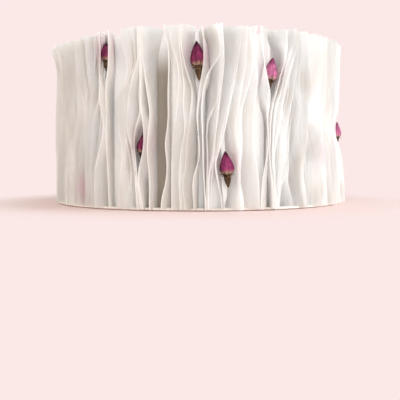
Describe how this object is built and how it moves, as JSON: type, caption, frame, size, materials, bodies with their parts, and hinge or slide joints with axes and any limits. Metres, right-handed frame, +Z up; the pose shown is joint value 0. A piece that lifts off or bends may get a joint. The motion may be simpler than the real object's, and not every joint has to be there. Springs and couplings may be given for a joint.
{
  "type": "single-tier wedding cake",
  "caption": "Round iced cake wrapped in upright wavy wafer-paper ruffles, with dried pink rosebuds tucked between them. Stands on its flat underside.",
  "frame": {"origin": "middle of the cake's flat underside", "axes": "+Z up along the cake's axis; the side that the picture shows faces -Y, +X is to its right"},
  "size_m": [0.2453, 0.2415, 0.1265],
  "materials": {
    "icing": "smooth white icing",
    "wafer_paper": "thin white wafer paper, matt and slightly see-through",
    "dried_rose": "dried magenta petals over a brown hip"
  },
  "bodies": {
    "root": {"cake": "icing", "ruffles": "wafer_paper", "rosebud_01": "dried_rose", "rosebud_02": "dried_rose", "rosebud_03": "dried_rose", "rosebud_04": "dried_rose", "rosebud_05": "dried_rose", "rosebud_06": "dried_rose", "rosebud_07": "dried_rose", "rosebud_08": "dried_rose", "rosebud_09": "dried_rose", "rosebud_10": "dried_rose", "rosebud_11": "dried_rose", "rosebud_12": "dried_rose", "rosebud_13": "dried_rose", "rosebud_14": "dried_rose", "rosebud_15": "dried_rose"}
  },
  "joints": []
}
